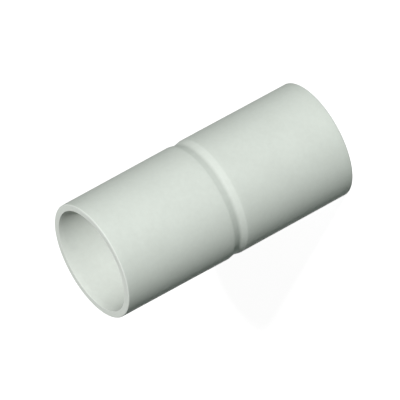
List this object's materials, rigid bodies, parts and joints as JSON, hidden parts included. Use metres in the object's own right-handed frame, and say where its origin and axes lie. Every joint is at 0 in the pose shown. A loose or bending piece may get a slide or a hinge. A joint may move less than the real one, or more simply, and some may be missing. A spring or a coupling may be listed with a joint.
{
  "type": "conduit coupling",
  "caption": "Straight moulded sleeve that joins rigid round conduit end to end, with a stop ring inside at its middle and a shallow groove round the outside over it.",
  "frame": {"origin": "centre of the lower mouth, on the plane of its rim, where the sleeve stands", "axes": "+Z along the sleeve's axis, from the lower mouth to the upper one; X and Y lie across it, and the sleeve is round, so any turn about Z is the same"},
  "size_m": [0.0234, 0.0234, 0.051],
  "materials": {
    "rigid_plastic": "pale grey rigid PVC as moulded, satin, with a faint green tint"
  },
  "bodies": {
    "root": {"coupling_sleeve": "rigid_plastic"}
  },
  "joints": []
}
